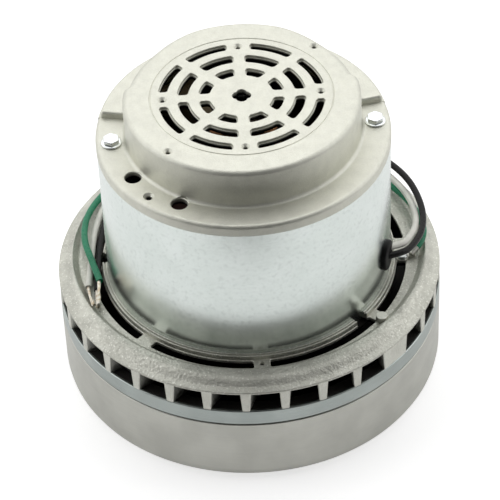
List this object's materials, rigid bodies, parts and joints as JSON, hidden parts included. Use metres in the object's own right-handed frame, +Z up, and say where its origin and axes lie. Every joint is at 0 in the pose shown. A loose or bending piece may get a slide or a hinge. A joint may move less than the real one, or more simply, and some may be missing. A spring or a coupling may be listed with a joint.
{
  "type": "vacuum motor unit",
  "caption": "Upright brush motor on a single-stage suction fan, air out through a ring of vents, three flying leads laid round its crown.",
  "frame": {"origin": "centre of the fan shell's flat base", "axes": "+Z up along the shaft, from the fan to the motor's grille; -Y towards the viewer"},
  "size_m": [0.183, 0.183, 0.1575],
  "materials": {
    "drawn_steel": "satin drawn steel",
    "band_steel": "satin, bluish",
    "fan_casting": "as cast, speckled",
    "zinc_steel": "zinc plated",
    "end_casting": "as cast, fine grain",
    "lamination": "stacked sheet",
    "winding": "enamelled wire",
    "holder_plastic": "tan thermoset",
    "screw_zinc": "bright zinc",
    "red_insulation": "satin",
    "bearing_steel": "ground",
    "black_rubber": "satin",
    "black_insulation": "satin",
    "white_insulation": "satin",
    "green_insulation": "satin",
    "tinned_strand": "tinned strand",
    "tinned_brass": "tinned",
    "commutator_copper": "turned copper",
    "sheet_aluminium": "rolled sheet",
    "carbon": "pressed carbon"
  },
  "bodies": {
    "housing": {"bearing_retainer": "bearing_steel", "black_lead": "black_insulation", "brush_holder_left": "holder_plastic", "brush_holder_right": "holder_plastic", "brush_holder_screws": "screw_zinc", "brush_leads": "red_insulation", "clamp_band": "band_steel", "earth_screw": "screw_zinc", "earth_terminal": "tinned_brass", "end_bracket": "end_casting", "fan_bracket": "fan_casting", "fan_shell": "drawn_steel", "field_coil_front": "winding", "field_coil_rear": "winding", "green_lead": "green_insulation", "housing_screws": "screw_zinc", "lead_grommet": "black_rubber", "lower_bearing": "bearing_steel", "motor_shell": "zinc_steel", "retainer_screws": "screw_zinc", "stator_core": "lamination", "stripped_ends": "tinned_strand", "upper_bearing": "bearing_steel", "wave_washer": "bearing_steel", "white_lead": "white_insulation"},
    "rotor": {"armature_core": "lamination", "armature_winding": "winding", "commutator": "commutator_copper", "cooling_fan": "sheet_aluminium", "impeller_backplate": "sheet_aluminium", "impeller_blades": "sheet_aluminium", "impeller_nut": "screw_zinc", "impeller_shroud": "sheet_aluminium", "impeller_spacer": "bearing_steel", "impeller_washer": "bearing_steel", "lower_bearing_inner_ring": "bearing_steel", "motor_shaft": "bearing_steel", "upper_bearing_inner_ring": "bearing_steel"},
    "brush_left": {"brush_spring_left": "bearing_steel", "carbon_brush_left": "carbon"},
    "brush_right": {"brush_spring_right": "bearing_steel", "carbon_brush_right": "carbon"}
  },
  "joints": [
    {"name": "rotor_spin", "type": "hinge", "parent": "housing", "child": "rotor", "pos_m": [0, 0, 0.08], "axis": [0, 0, 1], "continuous": true},
    {"name": "brush_left_slide", "type": "slide", "parent": "housing", "child": "brush_left", "axis": [-0.7071, 0.7071, 0], "range_m": [0, 0.003], "stiffness_N_per_m": 200, "springref_m": -0.015},
    {"name": "brush_right_slide", "type": "slide", "parent": "housing", "child": "brush_right", "axis": [0.7071, -0.7071, 0], "range_m": [0, 0.003], "stiffness_N_per_m": 200, "springref_m": -0.015}
  ]
}
